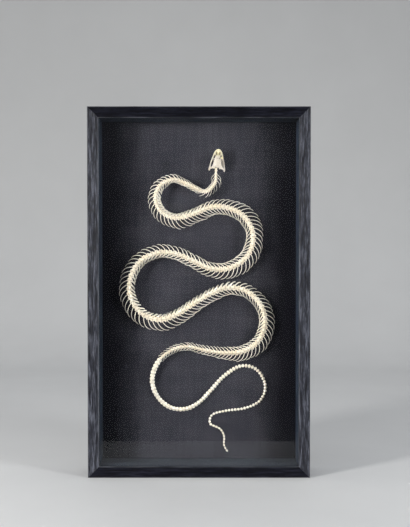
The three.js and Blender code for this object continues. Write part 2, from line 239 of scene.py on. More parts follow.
def shell_faces(grid):
    """
    Points and faces of closed shapes from a grid (shape, row, around, xyz). Each row is a closed ring, the
    middle of the first and last ring shuts the ends, and a shape of negative volume has the order of its
    corners turned round.
    """
    count, rows, around, _ = grid.shape
    ends = grid[:, [0, -1]].mean(axis=2)
    points = np.concatenate([grid.reshape(count, rows * around, 3), ends], axis=1)
    quads = ring_quads(rows, around)
    ring = np.arange(around)
    following = (ring + 1) % around
    top = (rows - 1) * around
    first, last = np.full(around, rows * around), np.full(around, rows * around + 1)
    first_cap = np.stack([following, ring, first], axis=-1)
    last_cap = np.stack([top + ring, top + following, last], axis=-1)
    caps = np.concatenate([first_cap, last_cap])
    triangles = np.concatenate([quads[:, [0, 1, 2]], quads[:, [0, 2, 3]], caps])
    centred = points - points.mean(axis=1, keepdims=True)
    a, b, c = (centred[:, triangles[:, k]] for k in range(3))
    inside_out = (a * np.cross(b, c)).sum(axis=(1, 2)) < 0
    turn = inside_out[:, None, None]
    offset = (np.arange(count) * points.shape[1])[:, None, None]
    quads = np.where(turn, quads[None, :, ::-1], quads[None]) + offset
    caps = np.where(turn, caps[None, :, ::-1], caps[None]) + offset
    return points.reshape(-1, 3), [quads.reshape(-1, 4), caps.reshape(-1, 3)]


def make_shells(name, grid, material, sharp=None):
    """One object holding every closed shape of a grid."""
    points, faces = shell_faces(grid)
    return make_mesh(name, points, faces, material, sharp)


def end_values(values):
    """The same number at every point of a ring and at the end middles, in the order of shell_faces."""
    ends = values[:, [0, -1]].mean(axis=2)
    return np.concatenate([values.reshape(len(values), -1), ends], axis=1)


def smooth(knots, per_span):
    """A curve through the knots whose slope at each is half the step between its two neighbours."""
    knots = np.asarray(knots, float)
    knots = np.vstack([2 * knots[0] - knots[1], knots, 2 * knots[-1] - knots[-2]])
    t = np.linspace(0, 1, per_span, endpoint=False)[None, :, None]
    a, b, c, d = knots[:-3, None], knots[1:-2, None], knots[2:-1, None], knots[3:, None]
    spans = 0.5 * (2 * b + (c - a) * t + (2 * a - 5 * b + 4 * c - d) * t**2 + (3 * b - a - 3 * c + d) * t**3)
    return np.vstack([spans.reshape(-1, knots.shape[1]), knots[-2]])


def unit(vectors):
    """Vectors brought to length one along their last axis."""
    return vectors / np.linalg.norm(vectors, axis=-1, keepdims=True)


# ----- materials of the case
WORN_AND_LIT_ARRIS = (0.15, 0.155, 0.17, 1.0)
PORE_BLACK = (0.004, 0.004, 0.004, 1.0)


def wood_material(name, stretch, tones, gloss):
    """
    Black-stained open-grained wood: long streaks and pores that run along one axis, paler on the edges that
    the attribute 'arris' marks, partly as wear and partly as a painted highlight.
    """
    nodes = Nodes(bpy.data.materials.new(name))
    where = nodes.place(stretch)
    broad = nodes.noise(240.0, 5.0, 0.6, where)
    fine = nodes.noise(520.0, 4.0, 0.65, where)
    pores = nodes.span(nodes.noise(1150.0, 2.0, 0.5, where), 0.55, 0.66, 0.0, 1.0)
    mixed = nodes.maths("ADD", nodes.maths("MULTIPLY", broad, 0.55), nodes.maths("MULTIPLY", fine, 0.45))
    colour = nodes.ramp(mixed, list(zip((0.40, 0.5, 0.60), tones)))
    colour = nodes.blend(nodes.maths("MULTIPLY", pores, 0.75), colour, PORE_BLACK)
    patchy = nodes.span(nodes.noise(240.0, where=where), 0.35, 0.62, 0.15, 0.85)
    # Paler arrises: partly wear, partly a painted highlight along the edges.
    colour = nodes.blend(nodes.maths("MULTIPLY", nodes.attribute("arris"), patchy), colour, WORN_AND_LIT_ARRIS)
    height = nodes.maths("SUBTRACT", mixed, nodes.maths("MULTIPLY", pores, 0.5))
    roughness = nodes.span(fine, 0.3, 0.7, 0.36, 0.56)
    return nodes.finish(colour, roughness, nodes.bump(height, 0.6, 0.0008), {"Specular IOR Level": gloss})


# One wood in two copies: the stiles' paler tones are a painted highlight and the rails' darker tones painted
# shade.
LIT_STILE_TONES = ((0.004, 0.004, 0.008), (0.030, 0.032, 0.045), (0.135, 0.142, 0.176))
SHADED_RAIL_TONES = ((0.0026, 0.0026, 0.005), (0.0064, 0.0068, 0.0125), (0.017, 0.018, 0.029))
LIT_STILE_WOOD = wood_material("black_wood_stiles_lit", (1.0, 1.0, 0.085), LIT_STILE_TONES, 0.36)
SHADED_RAIL_WOOD = wood_material("black_wood_rails_shaded", (0.085, 1.0, 1.0), SHADED_RAIL_TONES, 0.10)


def glass_material():
    """Clear glass that lets lamp light straight through."""
    nodes = Nodes(bpy.data.materials.new("clear_pane"))
    film = nodes.noise(6.0, 3.0)
    colour = nodes.ramp(film, [(0.3, (0.975, 0.985, 0.98)), (0.7, (0.99, 0.995, 0.993))])
    material = nodes.finish(colour, 0.0, others={
        "IOR": 1.25, "Specular IOR Level": 0.0, "Transmission Weight": 1.0, "Coat Weight": 0.12,
        "Coat Roughness": 0.15,
    })
    clear = nodes.add("BsdfTransparent", {"Color": (0.97, 0.98, 0.975, 1.0)})
    shadow = nodes.add("LightPath").outputs["Is Shadow Ray"]
    solid = nodes.tree.nodes["Principled BSDF"].outputs[0]
    mixed = nodes.add("MixShader", {"Fac": shadow, 1: solid, 2: clear.outputs[0]})
    nodes.feed(nodes.tree.nodes["Material Output"], {"Surface": mixed.outputs[0]})
    return material


CLOTH_TONES = ((0.0185, 0.0182, 0.0238), (0.0325, 0.0320, 0.0395), (0.0500, 0.0494, 0.0590))
# Painted shade of the side walls: beyond these places left and right of its middle, the cloth darkens
# towards a dark tone beside the stiles.
PAINTED_SIDE_SHADE = {"from": 0.119, "to": 0.170, "middle": -0.002, "cover": 0.80, "tone": (0.0014, 0.0015, 0.0032, 1.0)}


def cloth_material():
    """
    Plain-woven charcoal cloth, with thick and thin threads both ways. Along the two sides it is darkened
    with painted shade, where the side walls shade it.
    """
    nodes = Nodes(bpy.data.materials.new("charcoal_cloth"))
    where = nodes.add("SeparateXYZ", {"Vector": nodes.place()})
    upright = nodes.noise(210.0, 3.0, where=nodes.place((1.0, 1.0, 0.06)))
    level = nodes.noise(190.0, 3.0, where=nodes.place((0.06, 1.0, 1.0)))
    nap = nodes.noise(14.0, 4.0)
    tone = nodes.maths("MULTIPLY", upright, 0.36)
    for part, share in ((level, 0.24), (nap, 0.40)):
        tone = nodes.maths("ADD", tone, nodes.maths("MULTIPLY", part, share))
    colour = nodes.ramp(tone, list(zip((0.33, 0.5, 0.67), CLOTH_TONES)))
    side = nodes.maths("ABSOLUTE", nodes.maths("SUBTRACT", where.outputs["X"], PAINTED_SIDE_SHADE["middle"]))
    wander = nodes.span(nodes.noise(30.0, 3.0), 0.3, 0.7, -0.006, 0.006)
    ragged = nodes.maths("ADD", side, wander)
    # Painted shade: the cloth darkens beside the stiles, with a ragged edge.
    edge = nodes.span(ragged, PAINTED_SIDE_SHADE["from"], PAINTED_SIDE_SHADE["to"], 0.0, PAINTED_SIDE_SHADE["cover"])
    colour = nodes.blend(edge, colour, PAINTED_SIDE_SHADE["tone"])
    weave = nodes.bump(nodes.maths("ADD", upright, level), 0.04, 0.0003)
    return nodes.finish(colour, 0.95, weave, {"Specular IOR Level": 0.0})


def paint_material():
    """Blue-black paint brushed along the strips, thin in places, with dust where it faces up."""
    nodes = Nodes(bpy.data.materials.new("blue_black_paint"))
    strokes = nodes.noise(260.0, where=nodes.place((1.0, 1.0, 0.12)))
    colour = nodes.ramp(strokes, [(0.35, (0.006, 0.011, 0.020)), (0.65, (0.014, 0.024, 0.042))])
    normal = nodes.add("NewGeometry").outputs["Normal"]
    upward = nodes.add("SeparateXYZ", {"Vector": normal}).outputs["Z"]
    colour = nodes.blend(nodes.span(upward, 0.4, 0.9, 0.0, 0.22), colour, (0.115, 0.118, 0.125, 1.0))
    roughness = nodes.span(strokes, 0.3, 0.7, 0.42, 0.6)
    return nodes.finish(colour, roughness, nodes.bump(strokes, 0.25, 0.0003))


def board_material():
    """Pressed brown board with matted fibres and darker scuffs."""
    nodes = Nodes(bpy.data.materials.new("brown_board"))
    fibres = nodes.noise(420.0, 6.0, 0.7, nodes.place((1.0, 1.0, 0.5), (0.0, 0.6, 0.0)))
    scuffs = nodes.span(nodes.noise(7.0, 5.0), 0.45, 0.7, 0.0, 0.5)
    tones = ((0.075, 0.044, 0.025), (0.135, 0.085, 0.050), (0.20, 0.14, 0.088))
    colour = nodes.ramp(fibres, list(zip((0.3, 0.55, 0.75), tones)))
    colour = nodes.blend(scuffs, colour, (0.06, 0.038, 0.024, 1.0))
    return nodes.finish(colour, 0.8, nodes.bump(fibres, 0.4, 0.0004))


def steel_material(name, tone, rough):
    """Dull steel with short scratches and specks of tarnish."""
    nodes = Nodes(bpy.data.materials.new(name))
    specks = nodes.noise(900.0, 4.0)
    scratches = nodes.noise(2400.0, 2.0, where=nodes.place((1.0, 1.0, 0.1), (0.0, 0.4, 0.0)))
    dull = tuple(value * 0.45 for value in tone)
    colour = nodes.ramp(specks, [(0.38, dull), (0.56, tone)])
    roughness = nodes.span(scratches, 0.3, 0.7, rough - 0.1, rough + 0.15)
    return nodes.finish(colour, roughness, others={"Metallic": 1.0})


PANE = glass_material()
CLOTH = cloth_material()
PAINT = paint_material()
BOARD = board_material()
TAB_STEEL = steel_material("tab_steel_finish", (0.52, 0.51, 0.49), 0.38)
PIN_STEEL = steel_material("pin_steel_finish", (0.40, 0.39, 0.37), 0.42)


# ----- materials of the skeleton
OIL = (0.97, 0.88, 0.44, 1.0)


def bone_material(name, pale, mid, brown, rough):
    """
    Dry bone: ivory with warm patches, brown where one marked attribute gives stain at the joints and painted
    shade in the hollows and under the bones, yellow where the attribute 'oily' marks old fat in the bone,
    tiny pits and a slight waxy gloss.
    """
    nodes = Nodes(bpy.data.materials.new(name))
    patches = nodes.noise(60.0, 4.0)
    grain = nodes.noise(900.0, 4.0, 0.6)
    colour = nodes.ramp(patches, [(0.34, mid), (0.6, pale)])
    colour = nodes.blend(nodes.span(grain, 0.42, 0.7, 0.0, 0.35), colour, (*mid, 1.0))
    colour = nodes.blend(nodes.attribute("oily"), colour, OIL)
    # Brown for stain at the joints and for painted shade in the hollows and under the bones.
    stain = nodes.maths("MULTIPLY", nodes.attribute("stain_and_shade"), nodes.span(grain, 0.25, 0.7, 1.0, 0.65))
    colour = nodes.blend(stain, colour, (*brown, 1.0))
    roughness = nodes.span(grain, 0.3, 0.7, rough, rough + 0.2)
    return nodes.finish(colour, roughness, nodes.bump(grain, 0.3, 0.0002))


BONE = bone_material("ivory_bone", (0.95, 0.865, 0.73), (0.89, 0.77, 0.585), (0.16, 0.10, 0.05), 0.45)
# The skull is the backbone's bone in darker tones: painted shade.
SHADED_SKULL_TONES = ((0.65, 0.58, 0.515), (0.55, 0.475, 0.395), (0.07, 0.045, 0.02))
SHADED_SKULL_BONE = bone_material("skull_bone_shaded", *SHADED_SKULL_TONES, 0.4)
RIB_BONE = bone_material("rib_bone", (0.95, 0.89, 0.78), (0.92, 0.83, 0.68), (0.22, 0.15, 0.09), 0.45)

# ----- floor
FLOOR = {"half_width": 4.0, "front": -0.345, "back": 2.2, "rise": 2.6, "bend": 0.8, "drop": 0.0003}


def build_floor():
    """
    A pale sweep: flat from its front edge to behind the case, a quarter circle, then a wall. A profile (y, z)
    is carried straight from left to right.
    """
    angle = np.linspace(0, math.pi / 2, 24)
    bend_y = FLOOR["back"] - FLOOR["bend"] + FLOOR["bend"] * np.sin(angle)
    bend_z = FLOOR["bend"] * (1 - np.cos(angle))
    y = np.concatenate([[FLOOR["front"]], bend_y, [FLOOR["back"]]])
    z = np.concatenate([[0.0], bend_z, [FLOOR["rise"]]]) - FLOOR["drop"]
    x = np.array([-FLOOR["half_width"], FLOOR["half_width"]])
    grid = np.stack(np.broadcast_arrays(x[None, :], y[:, None], z[:, None]), axis=-1) / MM
    left = np.arange(len(y) - 1) * 2
    faces = np.stack([left, left + 1, left + 3, left + 2], axis=-1)
    make_mesh("floor", grid.reshape(-1, 3), [faces], floor_material())


build_floor()

# ----- the case
GAP = 0.3
CASE = {"width": 430.0, "height": 716.6, "depth": 85.0}
FRONT = -CASE["depth"] / 2
BACK = CASE["depth"] / 2
LIP = {"width": 22.0, "thick": 6.0}
WALL = 14.0
LIP_BACK = FRONT + LIP["thick"]
# The L-shaped section of the frame as [inset, depth], and the radius of each of its corners.
SECTION = [
    [0, FRONT], [LIP["width"], FRONT], [LIP["width"], LIP_BACK], [WALL, LIP_BACK], [WALL, BACK], [0, BACK],
]
SECTION_RADII = [1.5, 1.3, 0.5, 0.3, 0.8, 1.0]
GLASS_FRONT = LIP_BACK + GAP
GLASS_THICK = 2.0
CLOTH_FRONT = 27.5
CLOTH_THICK = 3.0
LINER_INNER = 21.3
PANEL_FRONT = CLOTH_FRONT + CLOTH_THICK + GAP
PANEL_THICK = 4.0


def rounded_outline(corners, radii, steps=6, margin=0.5):
    """
    A closed outline of square corners, each turned into a quarter circle of its own radius. An extra point
    a little way along each straight keeps the flats flat when they are shaded. Also gives how near each
    point is to an edge's middle.
    """
    corners = np.asarray(corners, float)
    radii = np.asarray(radii, float)[:, None, None]
    back = unit(np.roll(corners, 1, axis=0) - corners)[:, None]
    ahead = unit(np.roll(corners, -1, axis=0) - corners)[:, None]
    angle = np.linspace(0, math.pi / 2, steps)[None, :, None]
    arc = corners[:, None] + radii * (back + ahead) - radii * (ahead * np.cos(angle) + back * np.sin(angle))
    before = corners[:, None] + back * (radii + margin)
    after = corners[:, None] + ahead * (radii + margin)
    edge = np.sin(2 * angle[..., 0]) * np.ones((len(corners), 1))
    edge = np.hstack([np.zeros((len(corners), 1)), 0.4 + 0.6 * edge, np.zeros((len(corners), 1))])
    return np.concatenate([before, arc, after], axis=1).reshape(-1, 2), edge.ravel()


def frame_member(name, node, half_length, away, turns, material):
    """
    One mitred side of the frame. The rounded section is carried along the side, and each of its points stops
    short of the corner by its own inset, which cuts the ends at 45 degrees.
    """
    section, edge = rounded_outline(SECTION, SECTION_RADII)
    shares = np.linspace(-1, 1, 25)[:, None]
    along = shares * (half_length - section[None, :, 0] - GAP / 4)
    rows, around = along.shape
    inset = np.broadcast_to(section[None, :, 0], along.shape) - away
    depth = np.broadcast_to(section[None, :, 1], along.shape)
    angle = -turns * math.pi / 2
    x = along * math.cos(angle) + inset * math.sin(angle)
    z = -along * math.sin(angle) + inset * math.cos(angle)
    points = np.stack([x, depth, z + CASE["height"] / 2], axis=-1)
    ring = np.arange(around)
    ends = np.stack([ring[::-1], (rows - 1) * around + ring])
    piece = make_mesh(name, points.reshape(-1, 3), [ring_quads(rows, around), ends], material, sharp=40)
    mark(piece, "arris", np.tile(edge, rows))
    settle(piece, "stained_wood", node)


def board(name, low, high, radius, material):
    """
    A thin board with rounded edges. Its outline in x and z is drawn in by radius times (1 - sin a) as its
    depth runs through the front edge's quarter circle, and the same at the back.
    """
    angle = np.linspace(0, math.pi / 2, 5)
    inset = radius * (1 - np.sin(angle))
    front = low[1] + radius * (1 - np.cos(angle))
    inset = np.concatenate([inset[:1] + 1.0, inset, inset[::-1], inset[:1] + 1.0])
    depth = np.concatenate([[low[1]], front, high[1] - radius * (1 - np.cos(angle[::-1])), [high[1]]])
    corners = [[low[0], low[2]], [high[0], low[2]], [high[0], high[2]], [low[0], high[2]]]
    outline, _ = rounded_outline(corners, [radius * 1.5] * 4, 4)
    middle = np.array([(low[0] + high[0]) / 2, (low[2] + high[2]) / 2])
    half = np.array([high[0] - low[0], high[2] - low[2]]) / 2
    drawn = middle + (outline[None] - middle) * (1 - inset[:, None, None] / half)
    y = np.broadcast_to(depth[:, None], drawn.shape[:2])
    grid = np.stack([drawn[..., 0], y, drawn[..., 1]], axis=-1)[None]
    return make_shells(name, grid, material, sharp=40)


# Two long waves in the cloth, each as (height, radians per millimetre across and up, start).
CLOTH_WAVES = ((0.16, 0.021, 0.013, 1.0), (0.12, -0.034, 0.017, 0.0))
CLOTH_DIP = {"middle": 0.3, "border": 0.8}


def cloth_sheet(name, low, high, material):
    """
    The covered backing: a closed slab. Its front lies back by two long slanting sine waves, and by the
    fortieth power of the larger share of the way to a border, where the cloth is drawn round the board.
    """
    across, upward = 61, 101
    u = np.linspace(-1, 1, across)[None, :]
    v = np.linspace(-1, 1, upward)[:, None]
    x = (low[0] + high[0]) / 2 + u * (high[0] - low[0]) / 2 + 0 * v
    z = (low[2] + high[2]) / 2 + v * (high[2] - low[2]) / 2 + 0 * u
    waves = sum(height * np.sin(a * x + b * z + start) for height, a, b, start in CLOTH_WAVES)
    border = np.maximum(np.abs(u), np.abs(v)) ** 40 * CLOTH_DIP["border"]
    front = low[1] + CLOTH_DIP["middle"] + waves + border
    grid = np.stack([x, front, z], axis=-1).reshape(-1, 3)
    rear = np.stack([x, np.full_like(x, high[1]), z], axis=-1).reshape(-1, 3)
    index = np.arange(across * upward).reshape(upward, across)
    a, b, c, d = index[:-1, :-1], index[:-1, 1:], index[1:, 1:], index[1:, :-1]
    face = np.stack([a, b, c, d], axis=-1).reshape(-1, 4)
    loop = np.concatenate([index[0, :-1], index[:-1, -1], index[-1, :0:-1], index[:0:-1, 0]])
    ahead = np.roll(loop, -1)
    shift = across * upward
    edge = np.stack([loop + shift, ahead + shift, ahead, loop], axis=-1)
    faces = [face, face[:, ::-1] + shift, edge]
    return make_mesh(name, np.vstack([grid, rear]), faces, material, sharp=50)


def build_case():
    """The frame, the pane, the strips inside it, the covered backing and the board behind."""
    half_x, half_z = CASE["width"] / 2, CASE["height"] / 2
    frame_member("bottom_rail", "frame_bottom", half_x, half_z, 0, SHADED_RAIL_WOOD)
    frame_member("right_stile", "frame_right", half_z, half_x, 1, LIT_STILE_WOOD)
    frame_member("top_rail", "frame_top", half_x, half_z, 2, SHADED_RAIL_WOOD)
    frame_member("left_stile", "frame_left", half_z, half_x, 3, LIT_STILE_WOOD)
    x = CASE["width"] / 2 - WALL - GAP
    low, high = WALL + GAP, CASE["height"] - WALL - GAP
    pane_back = GLASS_FRONT + GLASS_THICK
    pane = board("pane", (-x, GLASS_FRONT, low), (x, pane_back, high), 0.35, PANE)
    settle(pane, "clear_glass", "glass_pane")
    front, back = pane_back + GAP, CLOTH_FRONT - GAP
    inner = CASE["width"] / 2 - LINER_INNER
    end = inner - GAP
    top = CASE["height"] - LINER_INNER
    strips = {
        "liner_left": ((-x, front, low), (-inner, back, high)),
        "liner_right": ((inner, front, low), (x, back, high)),
        "liner_bottom": ((-end, front, low), (end, back, LINER_INNER)),
        "liner_top": ((-end, front, top), (end, back, high)),
    }
    for node, (corner, opposite) in strips.items():
        settle(board(f"{node}_strip", corner, opposite, 0.6, PAINT), "liner_paint", node)
    cloth_back = CLOTH_FRONT + CLOTH_THICK
    cloth = cloth_sheet("covered_backing", (-x, CLOTH_FRONT, low), (x, cloth_back, high), CLOTH)
    settle(cloth, "dark_cloth", "fabric_backing")
    panel = board("rear_board", (-x, PANEL_FRONT, low), (x, PANEL_FRONT + PANEL_THICK, high), 0.5, BOARD)
    settle(panel, "hardboard", "back_panel")


SCREW = {"radius": 2.6, "height": 1.1, "slot": 0.42, "slot_depth": 0.55}


def turned(x, z, radius, depth, angle):
    """A closed shape about a line square to the backing: each point at its radius, depth and angle."""
    parts = np.broadcast_arrays(x + radius * np.cos(angle), depth, z + radius * np.sin(angle))
    return np.stack(parts, axis=-1)[None]


def screw_head(name, x, y, z, turn):
    """
    A slotted round head: a dome height * (1 - r^2) ** 0.6 on polar rings, sunk where a point lies near the
    slot's line.
    """
    share = np.concatenate([np.linspace(0.06, 0.94, 9), [1.0, 1.0]])[:, None]
    angle = circle(32)[None, :]
    radius = share * SCREW["radius"]
    dome = SCREW["height"] * np.maximum(1 - share**2, 0) ** 0.6 + 0 * angle
    side = radius * np.sin(angle - turn)
    slot = 1 / (1 + np.exp((np.abs(side) - SCREW["slot"]) * 14))
    dome = dome - slot * np.minimum(dome, SCREW["slot_depth"])
    dome[-1] = -0.3
    return make_shells(name, turned(x, z, radius, y + dome, angle), TAB_STEEL, sharp=45)


def box_of(node):
    """The low and high corner of a solid, in millimetres."""
    low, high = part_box(node)
    return np.array(low) / MM, np.array(high) / MM


def build_tabs():
    """Steel turn tabs that keep the boards in the back of the frame, each with its screw."""
    names = [f"tab_{side}_{row}" for side in ("left", "right") for row in ("lower", "upper")]
    for i, node in enumerate(names + ["tab_bottom", "tab_top"]):
        low, high = box_of(node)
        middle = (low + high) / 2
        settle(board(f"{node}_plate", low, high, 0.5, TAB_STEEL), "tab_steel", node)
        screw = screw_head(f"{node}_screw", middle[0], high[1], middle[2], 0.5 + i * 0.9)
        settle(screw, "tab_steel", node)


build_case()
build_tabs()

# ----- the backbone
# The way of the backbone from the back of the skull to the tip of the tail, as [x, z].
ROUTE = [
    [34, 603.5], [33, 590], [31, 572], [14, 556], [-6, 562], [-26, 572], [-52, 580], [-78, 567],
    [-86, 541], [-74, 516], [-46, 504], [-12, 512], [22, 525], [53, 525], [84, 511], [104, 483],
    [105, 449], [88, 421], [57, 404], [22, 404], [-10, 418], [-42, 432], [-77, 436], [-112, 422],
    [-134, 391], [-137, 352], [-115, 316], [-79, 303], [-45, 313], [-12, 334], [22, 354], [56, 366],
    [92, 360], [120, 335], [131, 300], [119, 262], [88, 240], [50, 236], [12, 241], [-24, 248],
    [-56, 240], [-82, 217], [-94, 182], [-84, 148], [-58, 125], [-26, 122], [1, 136], [24, 160],
    [50, 188], [84, 208], [116, 200], [133, 168], [122, 138], [92, 123], [56, 118], [27, 110],
    [22, 92], [42, 81], [50, 66], [50, 48], [59, 32],
]
NECK_GAP = 1.0
TRUNK_END = 1373.0
TAIL_END = 1962.0

# Sizes that change along the backbone, each as [distance from the skull, size].
PITCH = [[0, 6.2], [60, 6.4], [250, 7.5], [560, 8.9], [1020, 8.9], [1373, 6.8], [1700, 6.5], [1968, 6.2]]
WIDTH = [
    [0, 5.2], [12, 5.8], [30, 7], [60, 8], [100, 9], [300, 11.5], [1150, 11.5], [1373, 9.8], [1580, 8],
    [1740, 6], [1820, 5.3], [1968, 3.4],
]
HEIGHT = [[0, 23], [150, 22.5], [950, 23], [1180, 20], [1373, 11], [1500, 4], [1968, 1.7]]
LEFT_REACH = [
    [0, 9], [70, 5.8], [140, 11.8], [240, 18.4], [320, 16.6], [390, 14], [450, 16], [520, 12.8], [600, 12.6],
    [650, 14], [720, 17.4], [790, 20.4], [860, 20.4], [930, 18], [1010, 16.6], [1060, 13.4], [1150, 10],
    [1220, 10.5], [1290, 6.8], [1330, 6.6], [1373, 5.6],
]
RIGHT_REACH = [
    [0, 11.4], [35, 9.4], [65, 5.8], [105, 5.6], [150, 10.4], [220, 8], [300, 11], [380, 20.4], [430, 17.8],
    [480, 20.6], [560, 14], [650, 11.4], [720, 10.6], [800, 8.3], [985, 7.6], [1020, 11], [1080, 15.6],
    [1150, 20.4], [1200, 17], [1240, 11.6], [1290, 8.8], [1373, 7.2],
]
# A rib: its place in the pitch, its root against the width, its curve and its oval.
RIB = {"place": 0.06, "root": 0.34, "drop": 0.86, "hook": 1.14, "lean": 1.25, "rows": 10, "around": 6}
RIB_OVAL = {"radius": 0.63, "broad": 1.05, "high": 0.92}
FULL_PITCH = 8.0  # where the vertebrae are shorter than this, the ribs are swept less
# How far a rib's tip lies behind its root, as [reach, sweep], and the least of it, as [distance, sweep]: ribs
# near the head and the tail lie well back.
SWEEP = [[6, 4], [9, 8], [12, 15], [20, 24.5]]
LEAST_SWEEP = [[110, 15], [200, 0], [1190, 0], [1260, 9.5]]
# How broad a rib is, as [reach, breadth], and how much of that holds, as [distance, share]: the short ribs
# inside a bend are broad and all but touch.
CROWDED = [[7, 2.7], [10, 2.2], [13, 1.0]]
CROWDED_SHARE = [[110, 0], [170, 1], [1120, 1], [1190, 0.1], [1260, -0.08]]
# How thick a rib is and how stained and shaded (painted shade darkens the root, under the vertebra), each as
# [share from root to tip, size], and its growth behind the head.
RIB_TAPER = [[0, 1.5], [0.08, 1.25], [0.3, 1.0], [0.8, 0.92], [0.97, 0.75], [1.0, 0.5]]
RIB_STAIN_AND_SHADE = [[0, 0.45], [0.12, 0.12], [0.3, 0.0], [0.85, 0.0], [1.0, 0.1]]
RIB_GROWTH = [[0, 0.62], [60, 0.72], [200, 1.0]]
RIBLESS = 2  # so many vertebrae behind the skull bear no ribs
ROLL = 0.5  # how far a vertebra leans over towards the side with the shorter ribs
# What chance adds to a width, a reach, the sweep of a rib's tip and the bulge of its middle.
SCATTER = {"width": 0.05, "reach": 0.025, "sweep": 1.0, "wave": 0.35}
TRUNK_NAMES = ["neck"] + [f"trunk_{i}" for i in range(1, 8)]
TAIL_NAMES = ["tail_1", "tail_2", "tail_3"]

WAY = smooth(ROUTE, 40)
WAY_LENGTH = np.concatenate([[0], np.cumsum(np.linalg.norm(np.diff(WAY, axis=0), axis=1))])


def size_at(table, distance):
    """The size at each distance, straight between the entries of the table."""
    table = np.asarray(table, float)
    return np.interp(distance, table[:, 0], table[:, 1])


def flat_place(distance):
    """The x and z of the route at each distance."""
    return np.stack([np.interp(distance, WAY_LENGTH, WAY[:, k]) for k in range(2)], axis=-1)


def frames_at(distance, lean):
    """
    Origin, left, up and tailward directions of the backbone at each distance. Left and up turn about the
    tailward line by lean times the difference of the two sides' reach over their sum.
    """
    flat = flat_place(distance)
    step = unit(flat_place(distance + 1.5) - flat_place(distance - 1.5))
    zero = np.zeros_like(step[..., 0])
    tail = np.stack([step[..., 0], zero, step[..., 1]], axis=-1)
    flat_left = np.stack([step[..., 1], zero, -step[..., 0]], axis=-1)
    viewer = np.broadcast_to(np.array([0.0, -1.0, 0.0]), tail.shape)
    left, right = size_at(LEFT_REACH, distance), size_at(RIGHT_REACH, distance)
    roll = np.where(distance < TRUNK_END, lean * (left - right) / (left + right), 0.0)
    cosine, sine = np.cos(roll)[..., None], np.sin(roll)[..., None]
    origin = np.stack([flat[..., 0], CLOTH_FRONT - size_at(HEIGHT, distance), flat[..., 1]], axis=-1)
    return origin, flat_left * cosine + viewer * sine, viewer * cosine - flat_left * sine, tail


def joints_between(start, end):
    """The joints between vertebrae: steps of the local pitch, all drawn out to end exactly at the end."""
    joints = [start]
    while joints[-1] < end:
        joints.append(joints[-1] + float(size_at(PITCH, joints[-1])))
    joints = np.array(joints)
    return start + (joints - start) * (end - start) / (joints[-1] - start)


def split_lengths(joints, names):
    """Shares the vertebrae out evenly between the names, as (name, number of the first, joints)."""
    cuts = [int(math.floor((len(joints) - 1) * i / len(names) + 0.5)) for i in range(len(names) + 1)]
    return [(name, cuts[i], joints[cuts[i]:cuts[i + 1] + 1]) for i, name in enumerate(names)]


# A vertebra along its own length. A section has its place (share of the pitch), then against the width the
# reach of the joint wing, its height, the heights of the crest and the roof, the half width of the body and
# its depth. The last two are the sweep of the wing (share of the pitch) and the depth of the stain.
TRUNK_SECTIONS = np.array([
    [0.02, 0.28, -0.04, 0.14, 0.11, 0.15, 0.23, -0.04, 0.80],
    [0.13, 0.58, -0.02, 0.23, 0.14, 0.21, 0.33, -0.12, 0.05],
    [0.36, 0.30, 0.02, 0.46, 0.16, 0.17, 0.36, 0.00, 0.25],
    [0.58, 0.38, 0.05, 0.52, 0.18, 0.15, 0.36, 0.04, 0.05],
    [0.74, 0.74, 0.06, 0.50, 0.18, 0.17, 0.34, 0.14, 0.00],
    [1.02, 0.24, 0.07, 0.36, 0.12, 0.11, 0.22, 0.04, 0.60],
])
TAIL_ROOT_SECTIONS = np.array([
    [0.02, 0.44, 0.00, 0.42, 0.17, 0.20, 0.30, 0.00, 0.25],
    [0.20, 0.48, -0.02, 0.47, 0.20, 0.28, 0.42, 0.00, 0.06],
    [0.38, 0.57, 0.00, 0.50, 0.22, 0.26, 0.42, 0.02, 0.00],
    [0.58, 0.60, 0.02, 0.52, 0.22, 0.22, 0.36, 0.10, 0.00],
    [0.80, 0.47, 0.03, 0.48, 0.20, 0.22, 0.36, 0.10, 0.06],
    [1.00, 0.42, 0.00, 0.42, 0.17, 0.16, 0.24, 0.02, 0.25],
])
# A vertebra near the tip is a bead, the same from both ends.
HALF_BEAD = [
    [0.04, 0.22, 0.00, 0.18, 0.14, 0.18, 0.22, 0.00, 0.55],
    [0.22, 0.44, 0.00, 0.36, 0.28, 0.32, 0.40, 0.00, 0.05],
    [0.40, 0.62, 0.00, 0.50, 0.38, 0.42, 0.46, 0.00, 0.00],
]
TAIL_TIP_SECTIONS = np.array(HALF_BEAD + [[1 - place, *sizes] for place, *sizes in HALF_BEAD[::-1]])
# Painted shade round each vertebra: lighter on the crest, darker on the flanks and the keel underneath.
VERTEBRA_SHADE = np.array([-0.35, 0.25, 0.0, 0.2, 0.5, 0.4])  # added to the stain, from crest to keel
CREST_HALF, KEEL_HALF = 0.035, 0.05  # half of the crest's and the keel's breadth, against the width
NARROWING = (1180.0, 1270.0)  # the wings of the trunk grow shorter between these distances
BEADS = (1480.0, 1700.0)  # the tail goes from winged vertebrae to plain beads between these distances


def mirrored(half, sign=1):
    """Half a ring followed by its mirror image, run through backwards."""
    return np.concatenate([half, sign * half[..., ::-1]], axis=-1)


